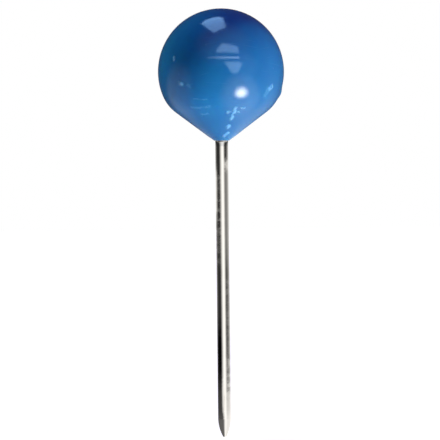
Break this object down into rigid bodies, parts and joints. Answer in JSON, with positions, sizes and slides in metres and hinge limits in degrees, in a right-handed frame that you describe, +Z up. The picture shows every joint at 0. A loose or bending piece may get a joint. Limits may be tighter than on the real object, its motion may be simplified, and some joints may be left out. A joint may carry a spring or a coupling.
{
  "type": "push pin",
  "caption": "Ball-head push pin: a glossy blue moulded plastic ball with a tapered neck on a straight bright steel needle with a short ground point.",
  "frame": {"origin": "on the needle's axis, at the plane where the needle leaves the head, which is the board's face when the pin is pushed home", "axes": "+Z up the needle's axis through the crown of the ball, with the point down; +X to the right and +Y away in the picture's view"},
  "size_m": [0.0064, 0.0064, 0.0217],
  "materials": {
    "head_plastic": "gloss",
    "needle_steel": "polished"
  },
  "bodies": {
    "root": {"ball_head": "head_plastic", "needle": "needle_steel"}
  },
  "joints": []
}
